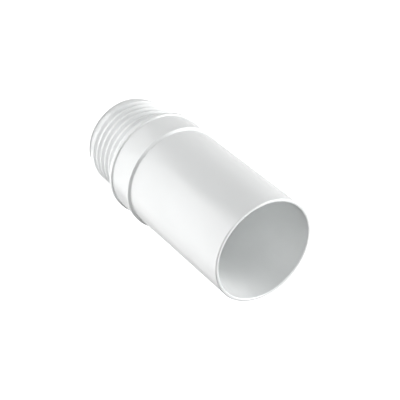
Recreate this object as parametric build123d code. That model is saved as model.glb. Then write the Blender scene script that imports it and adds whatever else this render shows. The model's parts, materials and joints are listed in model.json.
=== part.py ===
from build123d import *
import math
import os

# Straight toilet extension: one moulded tube, open at both ends.
# It stands on its finned end with the plain mouth up. +Z is the axis of the tube, and z = 0 is the foot.
# Sizes are in millimetres. The section has radius along X and height along Z, and is turned about Z.

# Plain tube
tube_diameter = 110.0
tube_wall = 3.2
insert_length = 154.3
rim_bevel = 0.8

# Collar with a raised ring at each end
collar_step = 1.0
ring_height = 2.5
ring_width = 7.0
ring_crest = 3.2
ring_crown = 0.35
ring_spacing = 32.7

# Shoulder between the collar and the spigot
shoulder_land = 5.0
shoulder_height = 5.0
shoulder_bevel = 0.8

# Finned spigot
spigot_diameter = 92.6
spigot_wall = 3.0
nose_length = 6.0
nose_bevel = 0.8
neck_length = 5.9
fin_height = 2.4
fin_count = 4
fin_pitch = 8.05
fin_tip = 1.2
fin_flank = 2.5
lip_lead = 1.2
lip_land = 5.2

# Radii
tube_radius = tube_diameter / 2
tube_bore = tube_radius - tube_wall
collar_radius = tube_radius + collar_step
ring_radius = tube_radius + ring_height
spigot_radius = spigot_diameter / 2
spigot_bore = spigot_radius - spigot_wall
fin_radius = spigot_radius + fin_height

# Heights, from the foot up
lip_top = nose_length + lip_lead + lip_land
top_fin = lip_top - fin_tip / 2 + fin_count * fin_pitch
shoulder_foot = top_fin + fin_tip / 2 + fin_flank + neck_length
shoulder_top = shoulder_foot + shoulder_height
lower_ring = shoulder_top + shoulder_land
upper_ring = lower_ring + ring_spacing
mouth = upper_ring + insert_length

# Inside, the shoulder is a cone parallel to its outside and one tube wall away from it.
shoulder_slope = shoulder_height / (collar_radius - spigot_radius)
shoulder_lift = tube_wall * math.hypot(1.0, shoulder_slope)


def shoulder_inside(radius):
    """Height of the inside cone at a radius."""
    return shoulder_foot + (radius - spigot_radius) * shoulder_slope + shoulder_lift


def outline(*corners):
    """Face in the XZ plane, from its corners as radius and height."""
    return make_face(Polyline(*[(radius, 0, height) for radius, height in corners], close=True))


def corner(section, radius, height):
    """Corner of a section nearest to a radius and height."""
    return section.vertices().sort_by_distance((radius, 0, height))[0]


def tube():
    """Section of the plain tube, collar, shoulder and spigot round their bore."""
    section = outline(
        (spigot_bore, 0),
        (spigot_radius, 0),
        (spigot_radius, shoulder_foot),
        (collar_radius, shoulder_top),
        (collar_radius, upper_ring),
        (tube_radius, upper_ring),
        (tube_radius, mouth),
        (tube_bore, mouth),
        (tube_bore, shoulder_inside(tube_bore)),
        (spigot_bore, shoulder_inside(spigot_bore)),
    )
    section = chamfer(corner(section, spigot_radius, 0), nose_bevel)
    section = chamfer([corner(section, tube_radius, mouth), corner(section, tube_bore, mouth)], rim_bevel)
    return chamfer(corner(section, collar_radius, shoulder_top), shoulder_bevel)


def ring(height):
    """Section of a raised ring: a crowned crest between two straight flanks, rooted in the wall."""
    root = tube_radius - tube_wall / 2
    edge = ring_radius - ring_crown
    bottom_edge = (edge, 0, height - ring_crest / 2)
    top_edge = (edge, 0, height + ring_crest / 2)
    crest = ThreePointArc(bottom_edge, (ring_radius, 0, height), top_edge)
    sides = Polyline(
        top_edge,
        (tube_radius, 0, height + ring_width / 2),
        (root, 0, height + ring_width / 2),
        (root, 0, height - ring_width / 2),
        (tube_radius, 0, height - ring_width / 2),
        bottom_edge,
    )
    return make_face([crest, sides])


def fin(bottom, lead, land, trail):
    """Section of a sealing fin: a land between a flank below and a flank above, rooted in the spigot."""
    root = spigot_radius - spigot_wall / 2
    top = bottom + lead + land + trail
    return outline(
        (root, bottom),
        (spigot_radius, bottom),
        (fin_radius, bottom + lead),
        (fin_radius, top - trail),
        (spigot_radius, top),
        (root, top),
    )


def extension_tube():
    """The moulding: tube, rings, wide end lip and fins in one section, turned about the axis."""
    section = tube() + ring(lower_ring) + ring(upper_ring)
    section += fin(nose_length, lip_lead, lip_land, fin_flank)
    for index in range(fin_count):
        tip = top_fin - index * fin_pitch
        section += fin(tip - fin_tip / 2 - fin_flank, fin_flank, fin_tip, fin_flank)
    return revolve(section, Axis.Z)


os.makedirs("parts", exist_ok=True)
export_step(extension_tube(), "parts/extension_tube.step")
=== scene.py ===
import json
import math

import bpy
import numpy as np
from bpy.props import FloatProperty, FloatVectorProperty, IntProperty, PointerProperty
from bpy.types import Operator, Panel, PropertyGroup
from mathutils import Matrix, Vector


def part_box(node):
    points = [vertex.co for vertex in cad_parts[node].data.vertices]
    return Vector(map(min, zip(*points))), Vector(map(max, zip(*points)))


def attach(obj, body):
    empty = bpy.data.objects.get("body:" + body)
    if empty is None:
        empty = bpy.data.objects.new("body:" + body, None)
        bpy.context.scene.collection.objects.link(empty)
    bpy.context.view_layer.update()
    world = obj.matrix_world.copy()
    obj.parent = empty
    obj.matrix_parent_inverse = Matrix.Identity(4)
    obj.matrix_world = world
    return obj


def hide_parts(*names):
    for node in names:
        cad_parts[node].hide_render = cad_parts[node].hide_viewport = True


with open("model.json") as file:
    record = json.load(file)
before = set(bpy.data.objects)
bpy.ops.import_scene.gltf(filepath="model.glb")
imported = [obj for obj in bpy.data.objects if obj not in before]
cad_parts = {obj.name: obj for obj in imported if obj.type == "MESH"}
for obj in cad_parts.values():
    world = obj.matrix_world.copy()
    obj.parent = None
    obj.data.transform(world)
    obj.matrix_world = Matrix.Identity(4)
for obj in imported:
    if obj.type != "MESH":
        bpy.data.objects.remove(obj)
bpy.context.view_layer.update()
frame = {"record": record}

# Straight toilet extension: one white moulded tube that stands on its finned end, with its plain mouth up.
# The tube's section has its radius from the axis and its height above the foot, both in metres.

bl_info = {
    "name": "Straight Toilet Extension",
    "version": (1, 0, 0),
    "blender": (4, 5, 0),
    "location": "View3D > Sidebar > Extension",
    "description": "Builds a finned plastic waste tube, its finish, a pale stage and the camera",
    "category": "Object",
}

CAD_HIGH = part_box("extension_tube")[1]
MOUNTS = {mount["name"]: mount for mount in frame["record"]["mounts"]}

# Rounds at the corners of the tube's section, in metres
FOOT_BORE_ROUND = 0.0004
FOOT_ROUND = 0.0007
LIP_ROOT_ROUND = 0.0004
LIP_LEAD_ROUND = 0.0006
LIP_TOP_ROUND = 0.0008
FIN_ROOT_ROUND = 0.0010
FIN_TIP_ROUND = 0.0006
SHOULDER_FOOT_ROUND = 0.0014
SHOULDER_TOP_ROUND = 0.0018
RING_LOWER_ROUND = 0.0004
RING_CREST_ROUND = 0.0005
RING_UPPER_ROUND = 0.0003
RIM_ROUND = 0.0011
BORE_STEP_ROUND = 0.0020

# Most of a side that one round may take, and the place of the row of points beside a round
ROUND_ROOM = 0.45
SIDE_ROW_GAP = 0.0003
SIDE_ROW_SHARE = 0.1

# Draw marks in the plastic, for each metre, and how they are stretched along the tube
DRAW_MARK_SCALE = 420.0
DRAW_MARK_STRETCH = 0.06

# Fibres in the floor's paper, for each metre, with the depth and strength of their relief
FIBRE_SCALE = 700.0
FIBRE_DEPTH = 0.0001
FIBRE_STRENGTH = 0.05

# Floor
FLOOR_REACH = 6.0
FLOOR_RINGS = 12
FLOOR_TURNS = 96

# Lamps, and the lit cards, which lie one above the other so that no two share a plane
LAMP_REACH = 1.3
MOUTH_LAMP_PLACE = Vector((0.012, -0.025, 0.165))
MOUTH_LAMP_AIM = Vector((-0.035, 0.04, 0.155))
MOUTH_LAMP_SIZE = 0.06
WIDE_CARD_SIZE = 0.7
NEAR_CARD_SIZE = 0.05
NEAR_CARD_GAP = 0.048
CARD_LIFT = 0.0002
CARD_STEP = 0.0001


def mount_radius(name):
    """Radius of one of the part's round mounts, in metres."""
    return MOUNTS[name]["dims"]["r_mm"] / 1000


def length(name, text, default):
    """A length property in metres."""
    return FloatProperty(name=name, description=text, default=default, min=0.0, precision=5, unit="LENGTH")


def count(name, text, default, least):
    """A whole number property."""
    return IntProperty(name=name, description=text, default=default, min=least)


def share(name, text, default):
    """A property between 0 and 1."""
    return FloatProperty(name=name, description=text, default=default, min=0.0, max=1.0, subtype="FACTOR")


def tilt(name, text, degrees):
    """An angle property, given in degrees and kept in radians."""
    return FloatProperty(name=name, description=text, default=math.radians(degrees), subtype="ANGLE")


def colour(name, text, default):
    """A linear colour property."""
    return FloatVectorProperty(
        name=name, description=text, default=default, min=0.0, max=1.0, size=3, subtype="COLOR")


def power(name, text, default):
    """A lamp's power in watts."""
    return FloatProperty(name=name, description=text, default=default, min=0.0, unit="POWER")


class TubeSizes(PropertyGroup):
    """Sizes of the tube's section, the same as the solid's, and the steps of its rounds and its turn."""

    mouth: length("Mouth", "Height of the open mouth above the foot", CAD_HIGH[2])
    tube_radius: length("Tube radius", "Outside of the plain tube", mount_radius("plain_spigot"))
    tube_bore: length("Tube bore", "Inside of the plain tube", mount_radius("mouth_bore"))
    collar_radius: length("Collar radius", "Outside of the collar between the rings", 0.056)
    ring_radius: length("Ring radius", "Crest of the raised rings", CAD_HIGH[0])
    ring_width: length("Ring width", "Foot of a raised ring along the tube", 0.007)
    ring_crest: length("Ring crest", "Crest of a raised ring along the tube, before it is rounded", 0.0034)
    upper_ring: length("Upper ring", "Height of the upper ring's crest", 0.0957)
    lower_ring: length("Lower ring", "Height of the lower ring's crest", 0.063)
    shoulder_top: length("Shoulder top", "Height where the shoulder meets the collar", 0.058)
    shoulder_foot: length("Shoulder foot", "Height where the shoulder meets the neck", 0.053)
    bore_step_top: length("Bore step top", "Height where the wide bore ends", 0.059435)
    bore_step_foot: length("Bore step foot", "Height where the narrow bore starts", 0.055054)
    spigot_radius: length("Spigot radius", "Outside of the spigot between its fins", 0.0463)
    spigot_bore: length("Spigot bore", "Inside of the spigot", mount_radius("outlet_bore"))
    fin_radius: length("Fin radius", "Tips of the fins and the lip", mount_radius("finned_spigot"))
    fin_tip: length("Fin tip", "Flat at the tip of a fin", 0.0012)
    fin_flank: length("Fin flank", "Slope of a fin, measured along the tube", 0.0025)
    fin_pitch: length("Fin pitch", "Distance from fin to fin", 0.00805)
    top_fin: length("Top fin", "Height of the fin nearest to the shoulder", 0.044)
    fin_count: count("Fins", "Number of narrow fins", 4, 1)
    nose: length("Nose", "Plain length at the foot, below the lip", 0.006)
    lip_lead: length("Lip lead", "Slope of the lip on the foot's side", 0.0012)
    lip_top: length("Lip top", "Height of the upper edge of the lip's flat", 0.0124)
    round_steps: count("Round steps", "Steps round each corner of the section", 5, 2)
    turn_steps: count("Turn steps", "Steps round the tube", 256, 24)


class PlasticFinish(PropertyGroup):
    """Colour and gloss of the white moulded plastic."""

    white: colour("White", "Colour of the plastic", (0.884, 0.90, 0.899))
    pale: colour("Pale", "Colour of its paler clouds", (0.914, 0.93, 0.929))
    cloud_size: length("Cloud size", "Size of the faint clouds in the colour", 0.045)
    roughness: share("Roughness", "Roughness of the plain tube", 0.17)
    fin_roughness: share("Fin roughness", "Roughness of the finned end", 0.36)
    roughness_spread: share("Roughness spread", "How much the draw marks change the roughness", 0.02)
    mirror: share("Mirror", "Strength of the mirror layer, 0.5 for what the index of refraction gives", 0.85)
    index: FloatProperty(name="Index", description="Index of refraction", default=1.49, min=1.0)
    grain_size: length("Grain size", "Size of the moulded skin's fine grain", 0.0012)
    grain_depth: length("Grain depth", "Depth of that grain", 0.000006)
    glow: share("Glow", "How much of the light spreads under the skin", 0.05)
    glow_reach: length("Glow reach", "How far that light spreads", 0.002)


class StageLook(PropertyGroup):
    """Floor, lamps, lit cards and camera. Left and right are those of the picture."""

    floor_white: colour("Floor", "Colour of the floor", (0.65, 0.65, 0.65))
    floor_lift: share("Floor lift", "White that the floor shows to the camera on top of its own light", 0.86)
    mirror_lift: share("Mirror lift", "White that it shows in the same way where gloss mirrors it", 0.2)
    lift_start: length("Lift start", "Distance from the axis where the added white starts to grow", 0.3)
    lift_end: length("Lift end", "Distance from the axis where the floor is all white", 1.0)
    sky: share("Sky", "Light that comes from all round", 0.0)
    front_power: power("Front lamp", "Low soft lamp on the camera's side", 2.58)
    high_power: power("High lamp", "Soft lamp a little higher than the camera", 2.064)
    right_power: power("Right lamp", "Large soft lamp behind the tube, on the right", 17.5)
    side_power: power("Side lamp", "Soft lamp on the right", 2.6)
    left_power: power("Left lamp", "Low soft lamp on the left", 0.8)
    mouth_power: power("Mouth lamp", "Small lamp in the bore, for light through the thin wall", 0.005)
    far_card_power: power("Far card", "Wide lit card on the floor, farther to the left", 0.95)
    wide_card_power: power("Wide card", "Wide lit card on the floor, on the left", 1.1)
    edge_card_power: power("Edge card", "Wide lit card whose edge parts the tube's white and grey", 0.99)
    near_card_power: power("Near cards", "Small lit cards on the floor, beside the foot", 0.0045)
    lens: FloatProperty(
        name="Lens", description="Focal length for a 36 mm picture", default=113.06, unit="CAMERA")
    camera_range: length("Camera range", "Distance from the camera to the mouth, along the view", 1.17784)
    mouth_right: length("Mouth right", "How far the mouth lies to the right of the view's middle", 0.06032)
    mouth_below: length("Mouth below", "How far the mouth lies below the view's middle", 0.04797)
    camera_rise: tilt("Camera rise", "How steeply the camera looks down", 43.914)
    camera_roll: tilt("Camera roll", "How far the camera is rolled", 129.58)


def rounded_section(corners, steps):
    """Closed section with rounded corners, as rows of radius and height.

    corners: rows of radius, height and round, in order round the section.
    A round of radius r in a corner where the line turns by an angle a leaves both sides at r tan(a / 2) from
    the corner. Its middle is at r to the left of the first of these two points, to the right where a is
    negative, and the round is that point turned about the middle by even steps of a. Where two rounds would
    meet, they shrink.
    Beyond each round comes one row close to it, so that the shading of the straight side stays flat.
    """
    place = corners[:, :2]
    before = place - np.roll(place, 1, axis=0)
    span = np.linalg.norm(before, axis=1)
    way = before / span[:, None]
    onward = np.roll(way, -1, axis=0)
    across = way[:, 0] * onward[:, 1] - way[:, 1] * onward[:, 0]
    turn = np.arctan2(across, (way * onward).sum(axis=1))
    reach = corners[:, 2] * np.tan(np.abs(turn) / 2)
    room = np.minimum(span, np.roll(span, -1)) * ROUND_ROOM
    reach = np.minimum(reach, room)
    radius = reach / np.tan(np.abs(turn) / 2) * np.sign(turn)
    first = place - way * reach[:, None]
    middle = first + np.stack([-way[:, 1], way[:, 0]], axis=1) * radius[:, None]
    angle = turn[:, None] * np.linspace(0.0, 1.0, steps + 1)
    arm = (first - middle)[:, None, :]
    curve_x = arm[..., 0] * np.cos(angle) - arm[..., 1] * np.sin(angle)
    curve_y = arm[..., 0] * np.sin(angle) + arm[..., 1] * np.cos(angle)
    curve = np.stack([curve_x, curve_y], axis=2) + middle[:, None, :]
    spare = np.minimum(SIDE_ROW_GAP, room * SIDE_ROW_SHARE)[:, None]
    lead = first - way * spare
    trail = curve[:, -1] + onward * spare
    return np.concatenate([lead[:, None], curve, trail[:, None]], axis=1).reshape(-1, 2)


def turned_surface(section, turns):
    """Vertices and quads of a closed section turned about the axis.

    The point for row i and turn j is (r_i cos t_j, r_i sin t_j, z_i), with the turns evenly round the circle.
    Both ways close on themselves. The section runs with the plastic on its left, so the faces look outwards.
    """
    rows = len(section)
    angle = np.linspace(0.0, 2 * np.pi, turns, endpoint=False)
    x = section[:, None, 0] * np.cos(angle)
    y = section[:, None, 0] * np.sin(angle)
    z = np.broadcast_to(section[:, None, 1], x.shape)
    vertices = np.stack([x, y, z], axis=2).reshape(-1, 3)
    row, column = np.meshgrid(np.arange(rows), np.arange(turns), indexing="ij")
    column_on = (column + 1) % turns
    start = row * turns
    start_on = (row + 1) % rows * turns
    corners = [start + column, start + column_on, start_on + column_on, start_on + column]
    quads = np.stack(corners, axis=2).reshape(-1, 4)
    return vertices, quads.tolist()


def floor_surface(reach, rings, turns):
    """Vertices and faces of a flat round floor.

    Ring k of n has the radius reach (k / n) squared, with its points evenly round the circle.
    Quads join the rings, and triangles join the first ring to one point in the middle.
    """
    radius = reach * np.linspace(0.0, 1.0, rings + 1)[1:] ** 2
    angle = np.linspace(0.0, 2 * np.pi, turns, endpoint=False)
    x = radius[:, None] * np.cos(angle)
    y = radius[:, None] * np.sin(angle)
    ring_points = np.stack([x, y, np.zeros_like(x)], axis=2).reshape(-1, 3)
    vertices = np.concatenate([np.zeros((1, 3)), ring_points])
    row, column = np.meshgrid(np.arange(rings - 1), np.arange(turns), indexing="ij")
    column_on = (column + 1) % turns
    inner = 1 + row * turns
    outer = inner + turns
    corners = [inner + column, outer + column, outer + column_on, inner + column_on]
    quads = np.stack(corners, axis=2).reshape(-1, 4)
    spoke = np.arange(turns)
    fan = np.stack([np.zeros_like(spoke), 1 + spoke, 1 + (spoke + 1) % turns], axis=1)
    return vertices, quads.tolist() + fan.tolist()


def new_piece(name, vertices, faces, material):
    """Mesh object at the origin from an array of vertices and a list of faces, shaded smooth."""
    mesh = bpy.data.meshes.new(name)
    mesh.from_pydata(vertices.tolist(), [], faces)
    mesh.polygons.foreach_set("use_smooth", np.ones(len(mesh.polygons), dtype=bool))
    mesh.materials.append(material)
    mesh.update()
    if mesh.validate():
        raise RuntimeError("the mesh of " + name + " has faults")
    piece = bpy.data.objects.new(name, mesh)
    bpy.context.scene.collection.objects.link(piece)
    return piece


def tube_corners(sizes):
    """Corners of the tube's section, each with its radius, height and round.

    They run from the foot up the outside, over the rim and down the bore. A fin or a ring is a flat crest
    between two slopes. The rings' slopes are equally steep, so on the collar they end nearer to the crest
    than on the tube.
    """
    foot = [
        (sizes.spigot_bore, 0.0, FOOT_BORE_ROUND),
        (sizes.spigot_radius, 0.0, FOOT_ROUND),
        (sizes.spigot_radius, sizes.nose, LIP_ROOT_ROUND),
        (sizes.fin_radius, sizes.nose + sizes.lip_lead, LIP_LEAD_ROUND),
        (sizes.fin_radius, sizes.lip_top, LIP_TOP_ROUND),
        (sizes.spigot_radius, sizes.lip_top + sizes.fin_flank, FIN_ROOT_ROUND),
    ]
    tip = sizes.fin_tip / 2
    root = tip + sizes.fin_flank
    heights = sizes.top_fin - sizes.fin_pitch * np.arange(sizes.fin_count)[::-1]
    fins = []
    for height in heights.tolist():
        fins += [
            (sizes.spigot_radius, height - root, FIN_ROOT_ROUND),
            (sizes.fin_radius, height - tip, FIN_TIP_ROUND),
            (sizes.fin_radius, height + tip, FIN_TIP_ROUND),
            (sizes.spigot_radius, height + root, FIN_ROOT_ROUND),
        ]
    shoulder = [
        (sizes.spigot_radius, sizes.shoulder_foot, SHOULDER_FOOT_ROUND),
        (sizes.collar_radius, sizes.shoulder_top, SHOULDER_TOP_ROUND),
    ]
    edge = sizes.ring_crest / 2
    tube_half = sizes.ring_width / 2
    rise = (sizes.ring_radius - sizes.tube_radius) / (tube_half - edge)
    collar_half = edge + (sizes.ring_radius - sizes.collar_radius) / rise
    low = sizes.lower_ring
    high = sizes.upper_ring
    rings = [
        (sizes.collar_radius, low - collar_half, RING_LOWER_ROUND),
        (sizes.ring_radius, low - edge, RING_CREST_ROUND),
        (sizes.ring_radius, low + edge, RING_CREST_ROUND),
        (sizes.collar_radius, low + collar_half, RING_UPPER_ROUND),
        (sizes.collar_radius, high - collar_half, RING_LOWER_ROUND),
        (sizes.ring_radius, high - edge, RING_CREST_ROUND),
        (sizes.ring_radius, high + edge, RING_CREST_ROUND),
        (sizes.tube_radius, high + tube_half, RING_UPPER_ROUND),
    ]
    mouth = [
        (sizes.tube_radius, sizes.mouth, RIM_ROUND),
        (sizes.tube_bore, sizes.mouth, RIM_ROUND),
        (sizes.tube_bore, sizes.bore_step_top, BORE_STEP_ROUND),
        (sizes.spigot_bore, sizes.bore_step_foot, BORE_STEP_ROUND),
    ]
    return np.array(foot + fins + shoulder + rings + mouth)


class Nodes:
    """Short hand for adding and joining the nodes of one material or world."""

    def __init__(self, owner):
        owner.use_nodes = True
        self.tree = owner.node_tree
        self.tree.nodes.clear()

    def add(self, kind, inputs=None, **settings):
        """New node with settings, and with values or links for its inputs."""
        node = self.tree.nodes.new(kind)
        for key, value in settings.items():
            setattr(node, key, value)
        for key, value in (inputs or {}).items():
            if isinstance(value, bpy.types.NodeSocket):
                self.tree.links.new(value, node.inputs[key])
            else:
                node.inputs[key].default_value = value
        return node

    def seen_straight(self):
        """1 for a ray from the camera, a mirror or glass, 0 for a ray that lights something."""
        path = self.add("ShaderNodeLightPath").outputs
        either = self.add("ShaderNodeMath", {
            0: path["Is Camera Ray"], 1: path["Is Glossy Ray"]}, operation="MAXIMUM")
        seen = self.add("ShaderNodeMath", {
            0: either.outputs[0], 1: path["Is Transmission Ray"]}, operation="MAXIMUM")
        return seen.outputs[0]


def white_plastic(finish, sizes):
    """White moulded plastic.

    It has faint clouds in its colour, draw marks along the tube in its gloss and a fine grain, and it is
    rougher on the fins than on the plain tube.
    """
    material = bpy.data.materials.new("white_plastic")
    nodes = Nodes(material)
    place = nodes.add("ShaderNodeTexCoord").outputs["Object"]
    cloud = nodes.add("ShaderNodeTexNoise", {
        "Vector": place, "Scale": 1 / finish.cloud_size, "Detail": 3.0, "Roughness": 0.5})
    tone = nodes.add("ShaderNodeMix", {
        "Factor": cloud.outputs["Fac"], "A": (*finish.white, 1), "B": (*finish.pale, 1)}, data_type="RGBA")

    stretched = nodes.add("ShaderNodeMapping", {"Vector": place, "Scale": (1.0, 1.0, DRAW_MARK_STRETCH)})
    draw_marks = nodes.add("ShaderNodeTexNoise", {
        "Vector": stretched.outputs[0], "Scale": DRAW_MARK_SCALE, "Detail": 2.0, "Roughness": 0.6})
    half = finish.roughness_spread / 2
    spread = nodes.add("ShaderNodeMapRange", {
        "Value": draw_marks.outputs["Fac"], "From Min": 0.3, "From Max": 0.7,
        "To Min": -half, "To Max": half})
    height = nodes.add("ShaderNodeSeparateXYZ", {"Vector": place}).outputs["Z"]
    plain = nodes.add("ShaderNodeMapRange", {
        "Value": height, "From Min": sizes.top_fin, "From Max": sizes.shoulder_foot,
        "To Min": finish.fin_roughness, "To Max": finish.roughness}, interpolation_type="SMOOTHSTEP")
    roughness = nodes.add("ShaderNodeMath", {0: plain.outputs[0], 1: spread.outputs[0]}, operation="ADD")

    grain = nodes.add("ShaderNodeTexNoise", {
        "Vector": place, "Scale": 1 / finish.grain_size, "Detail": 2.0, "Roughness": 0.5})
    bump = nodes.add("ShaderNodeBump", {
        "Height": grain.outputs["Fac"], "Strength": 1.0, "Distance": finish.grain_depth})

    surface = nodes.add("ShaderNodeBsdfPrincipled", {
        "Base Color": tone.outputs["Result"], "Roughness": roughness.outputs[0], "Normal": bump.outputs[0],
        "IOR": finish.index, "Specular IOR Level": finish.mirror, "Subsurface Weight": finish.glow,
        "Subsurface Radius": (1.0, 1.0, 1.0), "Subsurface Scale": finish.glow_reach})
    nodes.add("ShaderNodeOutputMaterial", {"Surface": surface.outputs[0]})
    return material


def floor_paper(look):
    """White paper floor, which shows more white to the camera and to mirrors than it lights the tube with.

    The added white is even near the tube, on top of the light and shadow that fall there, and grows to all
    white far away.
    """
    material = bpy.data.materials.new("floor_paper")
    nodes = Nodes(material)
    place = nodes.add("ShaderNodeTexCoord").outputs["Object"]
    fibre = nodes.add("ShaderNodeTexNoise", {"Vector": place, "Scale": FIBRE_SCALE, "Detail": 2.0})
    bump = nodes.add("ShaderNodeBump", {
        "Height": fibre.outputs["Fac"], "Strength": FIBRE_STRENGTH, "Distance": FIBRE_DEPTH})
    paper = nodes.add("ShaderNodeBsdfDiffuse", {"Color": (*look.floor_white, 1), "Normal": bump.outputs[0]})
    camera_ray = nodes.add("ShaderNodeLightPath").outputs["Is Camera Ray"]
    near = nodes.add("ShaderNodeMapRange", {
        "Value": camera_ray, "To Min": look.mirror_lift, "To Max": look.floor_lift})
    away = nodes.add("ShaderNodeVectorMath", {0: place}, operation="LENGTH")
    lift = nodes.add("ShaderNodeMapRange", {
        "Value": away.outputs["Value"], "From Min": look.lift_start, "From Max": look.lift_end,
        "To Min": near.outputs[0], "To Max": 1.0}, interpolation_type="SMOOTHSTEP")
    seen_lift = nodes.add("ShaderNodeMath", {
        0: nodes.seen_straight(), 1: lift.outputs[0]}, operation="MULTIPLY")
    white = nodes.add("ShaderNodeEmission", {"Strength": seen_lift.outputs[0]})
    both = nodes.add("ShaderNodeAddShader", {0: paper.outputs[0], 1: white.outputs[0]})
    nodes.add("ShaderNodeOutputMaterial", {"Surface": both.outputs[0]})
    return material


def sky_dome(look):
    """World that looks white to the camera and in mirrors, and lights the tube by the sky's share."""
    world = bpy.data.worlds.new("white_studio")
    nodes = Nodes(world)
    strength = nodes.add("ShaderNodeMapRange", {
        "Value": nodes.seen_straight(), "To Min": look.sky, "To Max": 1.0})
    light = nodes.add("ShaderNodeBackground", {"Color": (1, 1, 1, 1), "Strength": strength.outputs[0]})
    nodes.add("ShaderNodeOutputWorld", {"Surface": light.outputs[0]})
    return world


def round_place(middle, turn, rise, reach):
    """Place at a reach from a middle.

    Its turn is the angle round the axis from +X and its rise the angle above the floor, both in degrees.
    """
    turn = math.radians(turn)
    rise = math.radians(rise)
    away = Vector((math.cos(turn) * math.cos(rise), math.sin(turn) * math.cos(rise), math.sin(rise)))
    return middle + away * reach


def facing(place, aim):
    """Rotation of a lamp at a place that faces a point."""
    return (aim - place).to_track_quat("-Z", "Y").to_euler()


def lamp(name, place, rotation, size, watts):
    """Square soft lamp, which the camera doesn't see."""
    data = bpy.data.lights.new(name, "AREA")
    data.shape = "SQUARE"
    data.size = size
    data.energy = watts
    light = bpy.data.objects.new(name, data)
    light.location = place
    light.rotation_euler = rotation
    light.visible_camera = False
    bpy.context.scene.collection.objects.link(light)


def floor_card(name, turn, gap, side, size, height, watts):
    """Lit square card that lies on the floor, face up, at a turn round the tube.

    Its near edge is a gap from the axis, and it is moved sideways along that edge.
    """
    ahead = round_place(Vector((0, 0, height)), turn, 0, gap + size / 2)
    place = round_place(ahead, turn + 90, 0, side)
    lamp(name, place, (math.pi, 0, math.radians(turn)), size, watts)


def camera_at_view(look, mouth):
    """Camera that looks down on the mouth at its rise and roll, with the mouth at its place in the picture.

    Unrolled, the camera's right is +X, its view runs along +Y and down, and its up leans back.
    The roll turns right and up about the view. The mouth's middle is then the camera's place, plus the three
    distances along right, down and forward.
    """
    rise = look.camera_rise
    roll = look.camera_roll
    forward = Vector((0, math.cos(rise), -math.sin(rise)))
    level = Vector((1, 0, 0))
    upright = Vector((0, math.sin(rise), math.cos(rise)))
    right = level * math.cos(roll) + upright * math.sin(roll)
    up = upright * math.cos(roll) - level * math.sin(roll)
    place = mouth - right * look.mouth_right + up * look.mouth_below - forward * look.camera_range
    data = bpy.data.cameras.new("camera")
    data.lens = look.lens
    data.sensor_width = 36.0
    data.clip_start = 0.01
    camera = bpy.data.objects.new("camera", data)
    turn = Matrix((right, up, -forward)).transposed().to_4x4()
    camera.matrix_world = Matrix.Translation(place) @ turn
    bpy.context.scene.collection.objects.link(camera)
    bpy.context.scene.camera = camera


class ExtensionTubeOperator(Operator):
    """Builds the tube with rounded corners in place of the plain solid"""

    bl_idname = "object.extension_tube"
    bl_label = "Extension tube"

    def execute(self, context):
        sizes = context.scene.extension_tube
        section = rounded_section(tube_corners(sizes), sizes.round_steps)
        vertices, faces = turned_surface(section, sizes.turn_steps)
        plastic = white_plastic(context.scene.extension_plastic, sizes)
        piece = new_piece("moulded_tube", vertices, faces, plastic)
        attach(piece, "root")
        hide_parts("extension_tube")
        return {"FINISHED"}


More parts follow.
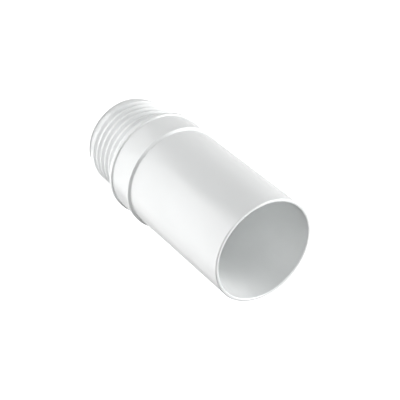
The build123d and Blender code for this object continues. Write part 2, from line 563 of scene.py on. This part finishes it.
class ExtensionStageOperator(Operator):
    """Builds the floor, the sky, the lamps, the lit cards and the camera"""

    bl_idname = "object.extension_stage"
    bl_label = "Stage"

    def execute(self, context):
        look = context.scene.extension_stage
        mouth = context.scene.extension_tube.mouth
        vertices, faces = floor_surface(FLOOR_REACH, FLOOR_RINGS, FLOOR_TURNS)
        floor = new_piece("floor", vertices, faces, floor_paper(look))
        context.scene.world = sky_dome(look)

        # Name, turn, rise, size and power of the lamps that face the tube's middle
        lamps = (
            ("front_lamp", 265, 20, 0.6, look.front_power),
            ("high_lamp", 265, 50, 0.6, look.high_power),
            ("right_lamp", 150, 45, 0.8, look.right_power),
            ("side_lamp", 180, 43, 0.6, look.side_power),
            ("left_lamp", 350, 9, 0.6, look.left_power),
        )
        aim = Vector((0, 0, mouth / 2))
        for name, turn, rise, size, watts in lamps:
            place = round_place(aim, turn, rise, LAMP_REACH)
            lamp(name, place, facing(place, aim), size, watts)
        inward = facing(MOUTH_LAMP_PLACE, MOUTH_LAMP_AIM)
        lamp("mouth_lamp", MOUTH_LAMP_PLACE, inward, MOUTH_LAMP_SIZE, look.mouth_power)

        # Name, turn, gap to the axis, sideways move, size and power of the lit cards
        cards = (
            ("far_card", 310, 0.2, 0.0, WIDE_CARD_SIZE, look.far_card_power),
            ("wide_card", 327, 0.095, 0.0, WIDE_CARD_SIZE, look.wide_card_power),
            ("edge_card", 293, 0.06, 0.247, WIDE_CARD_SIZE, look.edge_card_power),
            ("near_card_right", 255, NEAR_CARD_GAP, 0.0, NEAR_CARD_SIZE, look.near_card_power * 0.5),
            ("near_card_middle", 285, NEAR_CARD_GAP, 0.0, NEAR_CARD_SIZE, look.near_card_power),
            ("near_card_left", 315, NEAR_CARD_GAP, 0.0, NEAR_CARD_SIZE, look.near_card_power * 0.9),
            ("near_card_far_left", 345, NEAR_CARD_GAP, 0.0, NEAR_CARD_SIZE, look.near_card_power * 2.6),
        )
        for layer, (name, turn, gap, side, size, watts) in enumerate(cards):
            floor_card(name, turn, gap, side, size, CARD_LIFT + layer * CARD_STEP, watts)

        camera_at_view(look, Vector((0, 0, mouth)))
        context.scene.view_settings.view_transform = "Standard"
        return {"FINISHED"}


class ExtensionPanel(Panel):
    """Sizes, finish and stage of the extension tube"""

    bl_idname = "VIEW3D_PT_extension"
    bl_label = "Toilet extension"
    bl_space_type = "VIEW_3D"
    bl_region_type = "UI"
    bl_category = "Extension"

    def draw(self, context):
        groups = (
            (context.scene.extension_tube, ExtensionTubeOperator),
            (context.scene.extension_plastic, None),
            (context.scene.extension_stage, ExtensionStageOperator),
        )
        for group, operator in groups:
            box = self.layout.box()
            for name in group.__annotations__:
                box.prop(group, name)
            if operator:
                box.operator(operator.bl_idname)


CLASSES = (
    TubeSizes,
    PlasticFinish,
    StageLook,
    ExtensionTubeOperator,
    ExtensionStageOperator,
    ExtensionPanel,
)


def register():
    """Adds the classes and their properties."""
    for item in CLASSES:
        bpy.utils.register_class(item)
    bpy.types.Scene.extension_tube = PointerProperty(type=TubeSizes)
    bpy.types.Scene.extension_plastic = PointerProperty(type=PlasticFinish)
    bpy.types.Scene.extension_stage = PointerProperty(type=StageLook)


def unregister():
    """Takes the properties and classes away again."""
    del bpy.types.Scene.extension_stage
    del bpy.types.Scene.extension_plastic
    del bpy.types.Scene.extension_tube
    for item in reversed(CLASSES):
        bpy.utils.unregister_class(item)


def main():
    """Builds the piece and the stage."""
    register()
    bpy.ops.object.extension_tube()
    bpy.ops.object.extension_stage()


if __name__ == "__main__":
    main()
